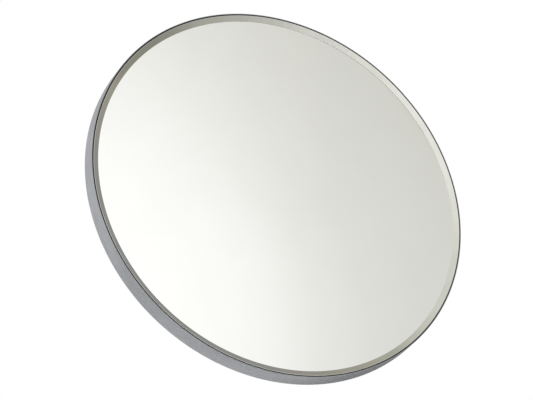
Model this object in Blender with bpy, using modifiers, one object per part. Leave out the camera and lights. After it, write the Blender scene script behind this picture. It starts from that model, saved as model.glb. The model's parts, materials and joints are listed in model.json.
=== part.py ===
"""A round traffic convex mirror with a two-axis fixing bracket.

The mirror faces -Y. The origin is the centre of the wall plate's back face, which lies in the
plane y = 0. The mirror head tilts about a level bolt at the front of the swivel arm, and the arm
swivels about an upright bolt at the wall bracket. Lengths are in metres, +Z is up.
"""
import math

import bmesh
import bpy
from mathutils import Matrix, Vector

MM = 0.001
GAP = 0.3 * MM                       # clearance left between touching pieces

# Mirror head. "forward" is measured from the rim's front plane towards the viewer.
RIM_RADIUS = 302 * MM                # half of the rim's 604 mm outside diameter
RIM_DEPTH = 30 * MM
RIM_WALL = 1.2 * MM
REAR_FLANGE_RADIUS = 284 * MM
BEZEL_OUTER_RADIUS = 299.6 * MM
BEZEL_CROWN = 0.6 * MM               # how far the bezel stands past the rim's front plane
BEZEL_SKIRT_RADIUS = 297.1 * MM
SIGHT_RADIUS = 290.4 * MM            # radius of the mirror face left open by the bezel
BEZEL_SHEET = 0.8 * MM
DOME_CURVATURE = 2200 * MM           # radius of curvature of the mirror face
DOME_EDGE_RADIUS = 295.3 * MM
DOME_THICKNESS = 2 * MM
DOME_SIGHT_FORWARD = -4 * MM         # height of the face where it meets the bezel
PAN_RADIUS = 300.5 * MM
PAN_SHEET = 1.2 * MM
PAN_TOP = -10.3 * MM
PAN_REAR = -34.2 * MM

# Places along Y, from the wall plate's back face at y = 0.
FRONT_PLANE_Y = -250 * MM
SWIVEL_AXIS_Y = -50 * MM
TILT_AXIS_Y = -170 * MM

# Wall plate and its holes.
WALL_PLATE_WIDTH = 120 * MM
WALL_PLATE_HEIGHT = 150 * MM
WALL_PLATE_THICKNESS = 6 * MM
WALL_HOLE_RADIUS = 5.5 * MM
WALL_HOLE_SPACING = (80 * MM, 124 * MM)
STRAP_SLOT_SIZE = (6 * MM, 24 * MM)
STRAP_SLOT_CENTRE = (51 * MM, 32 * MM)
BASE_SCREW_PLACE = (20 * MM, 12 * MM)

# Clevises, arm and joint bolts, alike on both axes.
LUG_THICKNESS = 5 * MM
LUG_RADIUS = 17 * MM
SWIVEL_WEB_WIDTH = 60 * MM
HEAD_PLATE_SIZE = (130 * MM, 110 * MM)
HEAD_PLATE_THICKNESS = 4.5 * MM
HEAD_LUG_FOOT = 36 * MM              # half height of a lug where it leaves the head plate
KNUCKLE_RADIUS = 16 * MM
KNUCKLE_LENGTH = 40 * MM
ARM_RADIUS = 13 * MM
JOINT_BOLT_RADIUS = 6 * MM           # M12
JOINT_HOLE_RADIUS = 6.4 * MM
BUSH_OUTER_RADIUS = 9 * MM
FRICTION_WASHER_THICKNESS = 1.5 * MM
JOINT_WASHER_THICKNESS = 2.5 * MM
JOINT_WASHER_RADIUS = 12 * MM
LOCK_WASHER_RADIUS = 10.5 * MM
JOINT_HEAD_FLATS = 19 * MM
JOINT_HEAD_HEIGHT = 7.5 * MM
JOINT_NUT_HEIGHT = 10 * MM

# M8 bolts through the back pan, and M8 countersunk screws in the wall plate.
SMALL_BOLT_RADIUS = 4 * MM
SMALL_HOLE_RADIUS = 4.4 * MM
SMALL_NUT_FLATS = 13 * MM
SMALL_NUT_HEIGHT = 6.5 * MM
SMALL_WASHER_THICKNESS = 1.6 * MM
HEAD_BOLT_PLACE = (50 * MM, 40 * MM)
STIFFENER_SIZE = (150 * MM, 120 * MM)
STIFFENER_THICKNESS = 4 * MM
CARRIAGE_HEAD = (8.5 * MM, 5 * MM)   # radius and height

# Self-tapping screws through the rim's rear flange.
RIM_SCREW_COUNT = 8
RIM_SCREW_CIRCLE = 291 * MM
RIM_SCREW_RADIUS = 2 * MM
RIM_SCREW_HEAD = (4 * MM, 2.6 * MM)  # radius and height
RIM_SCREW_LENGTH = 8 * MM

RING_STEPS = 72
BARREL_STEPS = 32
SHANK_STEPS = 16
SCREW_STEPS = 12
MERGE = 0.00001

LUG_INNER = KNUCKLE_LENGTH / 2 + FRICTION_WASHER_THICKNESS + 2 * GAP
LUG_OUTER = LUG_INNER + LUG_THICKNESS
FACE_FORWARD = Matrix.Rotation(math.radians(90), 4, "X")        # local +Z becomes -Y
AXIS_TO_X = Matrix.Rotation(math.radians(90), 4, "Y")           # local +Z becomes +X


# ---------------------------------------------------------------- scene, materials, placing

def clear_scene():
    for item in list(bpy.data.objects):
        bpy.data.objects.remove(item, do_unlink=True)


def new_collection(name):
    group = bpy.data.collections.new(name)
    bpy.context.scene.collection.children.link(group)
    return group


def new_material(name, colour, metallic, roughness):
    made = bpy.data.materials.new(name)
    made.use_nodes = True
    shader = made.node_tree.nodes["Principled BSDF"]
    shader.inputs["Base Color"].default_value = (*colour, 1.0)
    shader.inputs["Metallic"].default_value = metallic
    shader.inputs["Roughness"].default_value = roughness
    return made


def add_object(name, data):
    made = bpy.data.objects.new(name, data)
    COLLECTION.objects.link(made)
    return made


def new_pivot(name, parent, position):
    """An empty on a joint's axis. Every pivot keeps the world's directions."""
    pivot = add_object(name, None)
    pivot.empty_display_size = 0.03
    attach(pivot, parent, Matrix.Translation(position))
    return pivot


def attach(piece, parent, placing):
    """Put a piece at its place in the world, under the pivot that carries it."""
    if parent is None:
        piece.matrix_world = placing
        return
    piece.parent = parent
    offset = Vector((0, 0, 0))
    pivot = parent
    while pivot is not None:
        offset += pivot.location
        pivot = pivot.parent
    piece.matrix_basis = Matrix.Translation(-offset) @ placing


def finish(piece, name, look, parent, placing):
    """Name a finished piece, shade it, give it its material and put it in place."""
    piece.name = name
    piece.data.name = name
    piece.data.materials.clear()
    piece.data.materials.append(look)
    piece.data.shade_smooth()
    piece.data.set_sharp_from_angle(angle=math.radians(35))
    attach(piece, parent, placing)
    return piece


def finish_copy(original, name, parent, placing):
    """Another piece of the same shape, which shares the first one's mesh."""
    piece = add_object(name, original.data)
    attach(piece, parent, placing)
    return piece


# ---------------------------------------------------------------- shape tools

def evaluated_mesh(source):
    bpy.context.view_layer.update()
    ready = source.evaluated_get(bpy.context.evaluated_depsgraph_get())
    return bpy.data.meshes.new_from_object(ready)


def apply_modifiers(piece):
    mesh = evaluated_mesh(piece)
    piece.modifiers.clear()
    piece.data = mesh


def combine(piece, tool, operation):
    """Cut a piece with a tool, join them, or keep what they share; the tool is used up."""
    boolean = piece.modifiers.new("boolean", "BOOLEAN")
    boolean.operation = operation
    boolean.solver = "EXACT"
    boolean.object = tool
    apply_modifiers(piece)
    bpy.data.objects.remove(tool, do_unlink=True)


def turned(profile, steps):
    """A piece turned about local Z from (radius, height) points that run down its outer side."""
    mesh = bpy.data.meshes.new("profile")
    count = len(profile)
    closed = profile[0][0] > MERGE
    links = [(i, (i + 1) % count) for i in range(count if closed else count - 1)]
    mesh.from_pydata([(radius, 0.0, height) for radius, height in profile], links, [])
    piece = add_object("turned", mesh)
    screw = piece.modifiers.new("turn", "SCREW")
    screw.axis = "Z"
    screw.steps = steps
    screw.render_steps = steps
    screw.use_merge_vertices = True
    screw.merge_threshold = MERGE
    apply_modifiers(piece)
    return piece


def ring(inner, outer, low, high, steps):
    return turned([(inner, high), (outer, high), (outer, low), (inner, low)], steps)


def cylinder(radius, low, high, steps, placing=Matrix()):
    """A closed cylinder or prism along local Z."""
    mesh = bpy.data.meshes.new("cylinder")
    shape = bmesh.new()
    middle = Matrix.Translation((0, 0, (low + high) / 2))
    bmesh.ops.create_cone(shape, cap_ends=True, segments=steps, radius1=radius, radius2=radius,
                          depth=high - low, matrix=placing @ middle)
    shape.to_mesh(mesh)
    shape.free()
    return add_object("cylinder", mesh)


def box(centre, size):
    mesh = bpy.data.meshes.new("box")
    shape = bmesh.new()
    bmesh.ops.create_cube(shape, size=1, matrix=Matrix.Translation(centre)
                          @ Matrix.Diagonal((*size, 1)))
    shape.to_mesh(mesh)
    shape.free()
    return add_object("box", mesh)


def hexagon(flats, low, high, placing=Matrix()):
    return cylinder(flats / 2 / math.cos(math.radians(30)), low, high, 6, placing)


def arc(centre, radius, start, end, steps):
    """Points along an arc, in degrees, both ends included."""
    points = []
    for index in range(steps + 1):
        angle = math.radians(start + (end - start) * index / steps)
        points.append((centre[0] + radius * math.cos(angle), centre[1] + radius * math.sin(angle)))
    return points


def circle(centre, radius, steps, start=0):
    return arc(centre, radius, start, start + 360, steps)[:-1]


def rounded_rectangle(centre, size, radius, steps=4):
    """A closed outline with round corners, counter-clockwise from the right-hand side."""
    points = []
    for index, (side_x, side_y) in enumerate(((1, 1), (-1, 1), (-1, -1), (1, -1))):
        corner = (centre[0] + side_x * (size[0] / 2 - radius),
                  centre[1] + side_y * (size[1] / 2 - radius))
        points += arc(corner, radius, 90 * index, 90 * index + 90, steps)
    return points


def lug_outline(foot, shoulder, reach, radius):
    """A lug that stands on the line y = 0, half as wide as foot, and narrows to a round end."""
    corner = Vector((foot, shoulder))
    centre = Vector((0, reach))
    away = corner - centre
    touch = math.degrees(math.atan2(away.y, away.x) + math.acos(radius / away.length))
    return [(-foot, 0), (foot, 0), (foot, shoulder)] + arc(
        centre, radius, touch, 180 - touch, 10) + [(-foot, shoulder)]


def plate(outline, low, high):
    """A flat plate from a closed outline, between two heights along local Z."""
    curve = bpy.data.curves.new("outline", "CURVE")
    curve.dimensions = "2D"
    curve.fill_mode = "BOTH"
    curve.extrude = (high - low) / 2
    spline = curve.splines.new("POLY")
    spline.points.add(len(outline) - 1)
    spline.use_cyclic_u = True
    for point, (x, y) in zip(spline.points, outline):
        point.co = (x, y, 0, 1)
    guide = add_object("outline", curve)
    mesh = evaluated_mesh(guide)
    bpy.data.objects.remove(guide, do_unlink=True)
    shape = bmesh.new()
    shape.from_mesh(mesh)
    bmesh.ops.remove_doubles(shape, verts=shape.verts, dist=MERGE)
    bmesh.ops.translate(shape, verts=shape.verts, vec=(0, 0, (low + high) / 2))
    bmesh.ops.recalc_face_normals(shape, faces=shape.faces)
    shape.to_mesh(mesh)
    shape.free()
    return add_object("plate", mesh)


def drill(piece, places, radius, low, high, steps=SHANK_STEPS, placing=Matrix()):
    """Cut round holes through a piece along the placing's Z, all in one go."""
    shape = bmesh.new()
    for x, y in places:
        middle = Matrix.Translation((x, y, (low + high) / 2))
        bmesh.ops.create_cone(shape, cap_ends=True, segments=steps, radius1=radius,
                              radius2=radius, depth=high - low, matrix=placing @ middle)
    mesh = bpy.data.meshes.new("drill")
    shape.to_mesh(mesh)
    shape.free()
    combine(piece, add_object("drill", mesh), "DIFFERENCE")


def corners(place):
    """The four places of a rectangular pattern, counter-clockwise from the upper right."""
    return [(place[0], place[1]), (-place[0], place[1]), (-place[0], -place[1]), (place[0], -place[1])]


# ---------------------------------------------------------------- mirror head

def dome_forward(radius):
    """Height of the mirror face at a radius from its centre."""
    def sag(at):
        return DOME_CURVATURE - math.sqrt(DOME_CURVATURE ** 2 - at ** 2)
    return DOME_SIGHT_FORWARD + sag(SIGHT_RADIUS) - sag(radius)


def make_rim_channel():
    rear = RIM_WALL - RIM_DEPTH
    inner = RIM_RADIUS - RIM_WALL
    edge = RIM_WALL / 2
    front = arc((RIM_RADIUS - edge, -edge), edge, 180, 0, 4)
    heel = arc((inner, rear), RIM_WALL, 0, -90, 3)
    profile = front + heel + [(REAR_FLANGE_RADIUS, -RIM_DEPTH), (REAR_FLANGE_RADIUS, rear), (inner, rear)]
    rim = turned(profile, RING_STEPS)
    drill(rim, RIM_SCREW_PLACES, RIM_SCREW_RADIUS + 2 * GAP, -RIM_DEPTH - MM, rear + MM,
          SCREW_STEPS)
    finish(rim, "rim_channel", ALUMINIUM, TILT_PIVOT, HEAD_PLACE)


def make_rim_gasket():
    """A rubber ring between the rim's wall and the bezel's skirt, under the bezel's edge."""
    inner = BEZEL_SKIRT_RADIUS + GAP
    outer = RIM_RADIUS - RIM_WALL - GAP
    top = -2.4 * MM
    profile = [(inner, top), (outer, top), (outer, -9.5 * MM), (inner, -9.5 * MM)]
    finish(turned(profile, RING_STEPS), "rim_gasket", RUBBER, TILT_PIVOT, HEAD_PLACE)


def make_bezel_ring():
    """A bright ring that slopes in to the mirror, its edge turned down, with a skirt under it."""
    skirt = BEZEL_SKIRT_RADIUS - BEZEL_SHEET
    edge = BEZEL_OUTER_RADIUS - BEZEL_SHEET
    inner_edge = DOME_SIGHT_FORWARD + GAP
    steepness = (BEZEL_CROWN - inner_edge - 0.5 * MM) / (BEZEL_OUTER_RADIUS - SIGHT_RADIUS)

    def underside(radius):
        return BEZEL_CROWN - BEZEL_SHEET - 0.3 * MM - (BEZEL_OUTER_RADIUS - radius) * steepness

    profile = [(SIGHT_RADIUS, inner_edge + 0.5 * MM),
               (BEZEL_OUTER_RADIUS - 0.35 * MM, BEZEL_CROWN - 0.15 * MM),
               (BEZEL_OUTER_RADIUS, BEZEL_CROWN - 0.4 * MM), (BEZEL_OUTER_RADIUS, -1.6 * MM),
               (edge, -1.6 * MM), (edge, underside(edge)),
               (BEZEL_SKIRT_RADIUS, underside(BEZEL_SKIRT_RADIUS)), (BEZEL_SKIRT_RADIUS, -9 * MM),
               (skirt, -9 * MM), (skirt, underside(skirt)), (SIGHT_RADIUS, inner_edge)]
    finish(turned(profile, RING_STEPS), "bezel_ring", STAINLESS, TILT_PIVOT, HEAD_PLACE)


def make_mirror_dome():
    rings = 6
    front = []
    for index in range(rings + 1):
        radius = DOME_EDGE_RADIUS * index / rings
        front.append((radius, dome_forward(radius)))
    back = [(radius, forward - DOME_THICKNESS) for radius, forward in reversed(front)]
    finish(turned(front + back, RING_STEPS), "mirror_dome", MIRROR, TILT_PIVOT, HEAD_PLACE)


def make_edge_seal():
    inner = 286.5 * MM
    outer = 294.5 * MM
    under = DOME_THICKNESS + GAP
    base = PAN_TOP + GAP
    profile = [(inner, dome_forward(inner) - under), (outer, dome_forward(outer) - under),
               (outer, base), (inner, base)]
    finish(turned(profile, RING_STEPS), "edge_seal", FOAM, TILT_PIVOT, HEAD_PLACE)


def make_back_pan():
    """A pressed tray: flange, wall, a flat land for the rim screws, a step and a ring swage."""
    land = RIM_WALL - RIM_DEPTH + GAP
    swage = PAN_REAR + 3 * MM
    corner = 1.5 * MM
    outside = [(286.5 * MM, PAN_TOP), (PAN_RADIUS, PAN_TOP), (PAN_RADIUS, land + corner),
               (PAN_RADIUS - corner, land), (276 * MM, land), (268 * MM, PAN_REAR),
               (200 * MM, PAN_REAR), (194 * MM, swage), (170 * MM, swage), (164 * MM, PAN_REAR),
               (0, PAN_REAR)]
    inside = [(0, PAN_REAR), (164.5 * MM, PAN_REAR), (170.5 * MM, swage), (193.5 * MM, swage),
              (199.5 * MM, PAN_REAR), (267.5 * MM, PAN_REAR), (275.5 * MM, land)]
    inside = [(radius, forward + PAN_SHEET) for radius, forward in inside]
    inside += [(PAN_RADIUS - corner - 0.4 * MM, land + PAN_SHEET),
               (PAN_RADIUS - PAN_SHEET, land + corner + 0.4 * MM),
               (PAN_RADIUS - PAN_SHEET, PAN_TOP - PAN_SHEET), (286.5 * MM, PAN_TOP - PAN_SHEET)]
    pan = turned(inside + outside, RING_STEPS)
    drains = arc((0, 0), 250 * MM, -97.5, -82.5, 3)
    for places, radius in ((corners(HEAD_BOLT_PLACE), SMALL_HOLE_RADIUS), (drains, 2.5 * MM),
                           (RIM_SCREW_PLACES, RIM_SCREW_RADIUS + GAP)):
        drill(pan, places, radius, PAN_REAR - MM, land + 2 * MM, SCREW_STEPS)
    finish(pan, "back_pan", PAN_PAINT, TILT_PIVOT, HEAD_PLACE)


def make_rim_screws():
    radius, height = RIM_SCREW_HEAD
    seat = -RIM_DEPTH - GAP
    profile = [(0, seat + RIM_SCREW_LENGTH), (RIM_SCREW_RADIUS, seat + RIM_SCREW_LENGTH - MM),
               (RIM_SCREW_RADIUS, seat), (radius, seat), (radius, seat - height / 2),
               (radius * 0.7, seat - height), (0, seat - height)]
    first = None
    for index, (x, y) in enumerate(RIM_SCREW_PLACES):
        name = f"rim_screw_{index + 1}"
        placing = HEAD_PLACE @ Matrix.Translation((x, y, 0))
        if first is None:
            first = finish(turned(profile, SCREW_STEPS), name, ZINC, TILT_PIVOT, placing)
        else:
            finish_copy(first, name, TILT_PIVOT, placing)


def make_stiffener_plate():
    low = PAN_REAR + PAN_SHEET + GAP
    high = low + STIFFENER_THICKNESS
    piece = plate(rounded_rectangle((0, 0), STIFFENER_SIZE, 8 * MM), low, high)
    drill(piece, corners(HEAD_BOLT_PLACE), SMALL_HOLE_RADIUS, low - MM, high + MM, SCREW_STEPS)
    finish(piece, "stiffener_plate", GALVANISED, TILT_PIVOT, HEAD_PLACE)


def make_head_bracket():
    """A base plate with two welded lugs, which hold the tilt bolt."""
    high = PAN_REAR - GAP
    low = high - HEAD_PLATE_THICKNESS
    bracket = plate(rounded_rectangle((0, 0), HEAD_PLATE_SIZE, 8 * MM), low, high)
    foot = high - MM
    reach = foot - (FRONT_PLANE_Y - TILT_AXIS_Y)
    outline = lug_outline(HEAD_LUG_FOOT, 8 * MM, reach, LUG_RADIUS)
    turn = Matrix.Rotation(math.radians(90), 4, "Z") @ Matrix.Rotation(math.radians(90), 4, "X")
    stand = Matrix.Translation((0, 0, foot)) @ Matrix.Rotation(math.radians(180), 4, "X") @ turn
    for low_x, high_x in ((LUG_INNER, LUG_OUTER), (-LUG_OUTER, -LUG_INNER)):
        lug = plate(outline, low_x, high_x)
        lug.data.transform(stand)
        combine(bracket, lug, "UNION")
    drill(bracket, corners(HEAD_BOLT_PLACE), SMALL_HOLE_RADIUS, low - MM, high + MM,
          SCREW_STEPS)
    drill(bracket, [(0, reach)], JOINT_HOLE_RADIUS, -LUG_OUTER - MM, LUG_OUTER + MM,
          placing=stand)
    finish(bracket, "head_bracket", GALVANISED, TILT_PIVOT, HEAD_PLACE)


def small_nut():
    nut = hexagon(SMALL_NUT_FLATS, 0, SMALL_NUT_HEIGHT)
    hole = cylinder(SMALL_HOLE_RADIUS, -MM, SMALL_NUT_HEIGHT + MM, SCREW_STEPS)
    combine(nut, hole, "DIFFERENCE")
    return nut


def make_head_fasteners():
    """Four carriage bolts through stiffener, pan and head bracket, with washers and nuts."""
    top = PAN_REAR + PAN_SHEET + 2 * GAP + STIFFENER_THICKNESS
    washer_top = PAN_REAR - 2 * GAP - HEAD_PLATE_THICKNESS
    nut_top = washer_top - SMALL_WASHER_THICKNESS - GAP
    tip = nut_top - SMALL_NUT_HEIGHT - 3 * MM
    radius, height = CARRIAGE_HEAD
    profile = [(0, top + height), (radius * 0.6, top + height * 0.85), (radius, top + height * 0.3),
               (radius, top), (SMALL_BOLT_RADIUS, top), (SMALL_BOLT_RADIUS, tip), (0, tip)]
    washer = ring(SMALL_HOLE_RADIUS, 8 * MM, washer_top - SMALL_WASHER_THICKNESS, washer_top,
                  SCREW_STEPS)
    nut = small_nut()
    nut.data.transform(Matrix.Translation((0, 0, nut_top - SMALL_NUT_HEIGHT)))
    kinds = (("head_bolt", turned(profile, SCREW_STEPS)), ("head_washer", washer),
             ("head_nut", nut))
    for kind, shape in kinds:
        for index, (x, y) in enumerate(corners(HEAD_BOLT_PLACE)):
            name = f"{kind}_{index + 1}"
            placing = HEAD_PLACE @ Matrix.Translation((x, y, 0))
            if index == 0:
                finish(shape, name, ZINC, TILT_PIVOT, placing)
            else:
                finish_copy(shape, name, TILT_PIVOT, placing)


# ---------------------------------------------------------------- joints

def make_joint_bolt_set(joint, ends, parent, placing):
    """The clamping bolt of a joint: its head is on the +Z side of the placing, its nut on -Z."""
    washer_low = LUG_OUTER + GAP
    head_low = washer_low + JOINT_WASHER_THICKNESS + GAP
    lock_high = -(washer_low + JOINT_WASHER_THICKNESS + GAP)
    nut_high = lock_high - JOINT_WASHER_THICKNESS - GAP
    nut_low = nut_high - JOINT_NUT_HEIGHT

    bolt = hexagon(JOINT_HEAD_FLATS, head_low, head_low + JOINT_HEAD_HEIGHT)
    shank = cylinder(JOINT_BOLT_RADIUS, nut_low - 3 * MM, head_low + MM, SHANK_STEPS)
    combine(bolt, shank, "UNION")
    finish(bolt, f"{joint}_bolt", ZINC, parent, placing)

    nut = hexagon(JOINT_HEAD_FLATS, nut_low, nut_high)
    bore = cylinder(JOINT_HOLE_RADIUS, nut_low - MM, nut_high + MM, SHANK_STEPS)
    combine(nut, bore, "DIFFERENCE")
    finish(nut, f"{joint}_nut", ZINC, parent, placing)

    lock = ring(JOINT_HOLE_RADIUS, LOCK_WASHER_RADIUS, lock_high - JOINT_WASHER_THICKNESS,
                lock_high, SHANK_STEPS)
    combine(lock, box((LOCK_WASHER_RADIUS, 0, lock_high), (10 * MM, 1.2 * MM, 8 * MM)),
            "DIFFERENCE")
    finish(lock, f"{joint}_lock_washer", ZINC, parent, placing)

    half = KNUCKLE_LENGTH / 2
    washer = ring(JOINT_HOLE_RADIUS, JOINT_WASHER_RADIUS, washer_low,
                  washer_low + JOINT_WASHER_THICKNESS, SHANK_STEPS)
    friction = ring(JOINT_HOLE_RADIUS, LUG_RADIUS - 2 * MM, half + GAP,
                    half + GAP + FRICTION_WASHER_THICKNESS, SHANK_STEPS)
    flipped = placing @ Matrix.Rotation(math.radians(180), 4, "X")
    finish(washer, f"{joint}_washer_{ends[0]}", ZINC, parent, placing)
    finish(friction, f"{joint}_friction_washer_{ends[0]}", NYLON, parent, placing)
    finish_copy(washer, f"{joint}_washer_{ends[1]}", parent, flipped)
    finish_copy(friction, f"{joint}_friction_washer_{ends[1]}", parent, flipped)

    bush = ring(JOINT_HOLE_RADIUS, BUSH_OUTER_RADIUS, -half, half, SHANK_STEPS)
    finish(bush, f"{joint}_bush", NYLON, SWIVEL_PIVOT, placing)


def make_swivel_arm():
    """A cast arm: an upright knuckle at the back, a level knuckle at the front, a bar between."""
    half = KNUCKLE_LENGTH / 2
    back = Matrix.Translation((0, SWIVEL_AXIS_Y, 0))
    front = Matrix.Translation((0, TILT_AXIS_Y, 0)) @ AXIS_TO_X
    arm = cylinder(KNUCKLE_RADIUS, -half, half, BARREL_STEPS, back)
    combine(arm, cylinder(KNUCKLE_RADIUS, -half, half, BARREL_STEPS, front), "UNION")
    bar = cylinder(ARM_RADIUS, 0, SWIVEL_AXIS_Y - TILT_AXIS_Y, BARREL_STEPS, back @ FACE_FORWARD)
    combine(arm, bar, "UNION")
    for knuckle in (back, front):
        bore = cylinder(BUSH_OUTER_RADIUS + GAP, -half - MM, half + MM, SHANK_STEPS, knuckle)
        combine(arm, bore, "DIFFERENCE")
    arm.data.transform(back.inverted())
    finish(arm, "swivel_arm", CAST, SWIVEL_PIVOT, back)


# ---------------------------------------------------------------- wall side

def make_wall_plate():
    """A flat plate with four screw holes, four strap slots and four countersunk holes."""
    screw_place = (WALL_HOLE_SPACING[0] / 2, WALL_HOLE_SPACING[1] / 2)
    through = WALL_PLATE_THICKNESS + MM
    outline = rounded_rectangle((0, 0), (WALL_PLATE_WIDTH, WALL_PLATE_HEIGHT), 10 * MM)
    wall_plate = plate(outline, 0, WALL_PLATE_THICKNESS)
    drill(wall_plate, corners(screw_place), WALL_HOLE_RADIUS, -MM, through)
    drill(wall_plate, corners(BASE_SCREW_PLACE), SMALL_HOLE_RADIUS, -MM, through, SCREW_STEPS)
    for place in corners(STRAP_SLOT_CENTRE):
        slot = plate(rounded_rectangle(place, STRAP_SLOT_SIZE, 2 * MM, 2), -MM, through)
        combine(wall_plate, slot, "DIFFERENCE")
    for x, y in corners(BASE_SCREW_PLACE):
        sink = turned([(0, 4.2 * MM), (4.1 * MM, 4.2 * MM), (9.3 * MM, -MM), (0, -MM)], SCREW_STEPS)
        sink.data.transform(Matrix.Translation((x, y, 0)))
        combine(wall_plate, sink, "DIFFERENCE")
    finish(wall_plate, "wall_plate", GALVANISED, None, FACE_FORWARD)


def make_swivel_bracket():
    """A folded U: a web against the wall plate, and two level lugs that hold the swivel bolt."""
    web_back = WALL_PLATE_THICKNESS + GAP
    web_front = web_back + LUG_THICKNESS
    tip = -SWIVEL_AXIS_Y + LUG_RADIUS
    bend = 6 * MM
    outer = [(tip, LUG_OUTER)] + arc((web_back + bend, LUG_OUTER - bend), bend, 90, 180, 4)
    lower = [(x, -z) for x, z in reversed(outer)]
    inside = [(tip, -LUG_INNER), (web_front, -LUG_INNER), (web_front, LUG_INNER), (tip, LUG_INNER)]
    half = SWIVEL_WEB_WIDTH / 2
    bracket = plate(outer + lower + inside, -half, half)
    bracket.data.transform(Matrix.Rotation(math.radians(-90), 4, "Z") @
                           Matrix.Rotation(math.radians(90), 4, "X"))
    outline = lug_outline(half, 14 * MM, -SWIVEL_AXIS_Y, LUG_RADIUS)
    height = LUG_OUTER + MM
    plan = plate(outline, -height, height)
    plan.data.transform(Matrix.Rotation(math.radians(180), 4, "X"))
    combine(bracket, plan, "INTERSECT")
    drill(bracket, [(0, SWIVEL_AXIS_Y)], JOINT_HOLE_RADIUS, -height, height)
    drill(bracket, corners(BASE_SCREW_PLACE), SMALL_HOLE_RADIUS, 0, web_front + MM,
          SCREW_STEPS, FACE_FORWARD)
    finish(bracket, "swivel_bracket", GALVANISED, None, Matrix())


def make_base_fasteners():
    """Countersunk screws that lie flush in the wall face, with nuts inside the swivel bracket."""
    nut_low = WALL_PLATE_THICKNESS + GAP + LUG_THICKNESS + GAP
    tip = nut_low + SMALL_NUT_HEIGHT + 2 * MM
    profile = [(0, tip), (SMALL_BOLT_RADIUS, tip), (SMALL_BOLT_RADIUS, 4.3 * MM),
               (7.6 * MM, 0.6 * MM), (7.6 * MM, 0.3 * MM), (0, 0.3 * MM)]
    screw = turned(profile, SCREW_STEPS)
    combine(screw, hexagon(5 * MM, -MM, 3 * MM), "DIFFERENCE")
    nut = small_nut()
    nut.data.transform(Matrix.Translation((0, 0, nut_low)))
    for kind, shape in (("base_screw", screw), ("base_nut", nut)):
        for index, (x, y) in enumerate(corners(BASE_SCREW_PLACE)):
            name = f"{kind}_{index + 1}"
            placing = FACE_FORWARD @ Matrix.Translation((x, y, 0))
            if index == 0:
                finish(shape, name, ZINC, None, placing)
            else:
                finish_copy(shape, name, None, placing)


# ---------------------------------------------------------------- assembly

RIM_SCREW_PLACES = circle((0, 0), RIM_SCREW_CIRCLE, RIM_SCREW_COUNT, 180 / RIM_SCREW_COUNT)

clear_scene()
COLLECTION = new_collection("traffic_convex_mirror")

ALUMINIUM = new_material("satin_aluminium", (0.42, 0.43, 0.45), 1.0, 0.38)
STAINLESS = new_material("polished_stainless", (0.72, 0.71, 0.66), 1.0, 0.12)
MIRROR = new_material("mirror_face", (0.93, 0.93, 0.91), 1.0, 0.02)
RUBBER = new_material("black_rubber", (0.03, 0.03, 0.03), 0.0, 0.7)
FOAM = new_material("grey_foam", (0.20, 0.20, 0.20), 0.0, 0.9)
PAN_PAINT = new_material("grey_painted_steel", (0.36, 0.37, 0.38), 0.0, 0.5)
GALVANISED = new_material("galvanised_steel", (0.52, 0.54, 0.56), 1.0, 0.45)
ZINC = new_material("zinc_plated_steel", (0.62, 0.62, 0.60), 1.0, 0.3)
CAST = new_material("cast_aluminium", (0.48, 0.49, 0.50), 1.0, 0.5)
NYLON = new_material("black_nylon", (0.04, 0.04, 0.04), 0.0, 0.45)

SWIVEL_PIVOT = new_pivot("swivel_pivot", None, (0, SWIVEL_AXIS_Y, 0))
TILT_PIVOT = new_pivot("tilt_pivot", SWIVEL_PIVOT, (0, TILT_AXIS_Y, 0))
HEAD_PLACE = Matrix.Translation((0, FRONT_PLANE_Y, 0)) @ FACE_FORWARD

make_rim_channel()
make_rim_gasket()
make_bezel_ring()
make_mirror_dome()
make_edge_seal()
make_back_pan()
make_rim_screws()
make_stiffener_plate()
make_head_bracket()
make_head_fasteners()
make_swivel_arm()
make_joint_bolt_set("tilt", ("right", "left"), TILT_PIVOT,
                    Matrix.Translation((0, TILT_AXIS_Y, 0)) @ AXIS_TO_X)
make_joint_bolt_set("swivel", ("top", "bottom"), None, Matrix.Translation((0, SWIVEL_AXIS_Y, 0)))
make_wall_plate()
make_swivel_bracket()
make_base_fasteners()
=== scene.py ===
"""The looks of the traffic convex mirror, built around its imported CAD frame.

Every piece is made in the frame's own place: metres, +Z up, the mirror facing -Y and the wall
plate's back face in the plane y = 0. "forward" is the distance from the rim's front plane towards
the viewer, so the pieces of the head are made along a local +Z and then laid along -Y.
"""
import json
import math

import bmesh
import bpy
from mathutils import Matrix, Vector


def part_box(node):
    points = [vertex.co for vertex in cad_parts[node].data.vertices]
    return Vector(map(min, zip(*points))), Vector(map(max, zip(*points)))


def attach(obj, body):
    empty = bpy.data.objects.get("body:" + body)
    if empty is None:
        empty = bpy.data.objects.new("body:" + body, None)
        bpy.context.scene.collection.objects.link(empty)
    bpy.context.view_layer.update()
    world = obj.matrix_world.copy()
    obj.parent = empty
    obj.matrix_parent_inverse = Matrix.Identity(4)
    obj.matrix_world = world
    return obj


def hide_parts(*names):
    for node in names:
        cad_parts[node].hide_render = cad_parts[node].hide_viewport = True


MM = 0.001
TINY = 1e-7
GAP = 0.3 * MM                       # clearance between neighbouring pieces

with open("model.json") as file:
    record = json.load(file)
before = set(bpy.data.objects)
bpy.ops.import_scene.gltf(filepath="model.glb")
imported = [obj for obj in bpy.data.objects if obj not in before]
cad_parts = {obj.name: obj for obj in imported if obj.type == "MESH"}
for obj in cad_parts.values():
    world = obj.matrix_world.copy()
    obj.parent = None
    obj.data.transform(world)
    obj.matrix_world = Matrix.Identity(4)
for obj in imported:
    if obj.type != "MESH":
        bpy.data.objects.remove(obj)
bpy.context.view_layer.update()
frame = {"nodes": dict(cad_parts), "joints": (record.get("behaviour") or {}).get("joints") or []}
NODES = frame["nodes"]


# ---------------------------------------------------------------- places

def spun(degrees, axis):
    """A turn about a local axis."""
    return Matrix.Rotation(math.radians(degrees), 4, axis)


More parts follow.
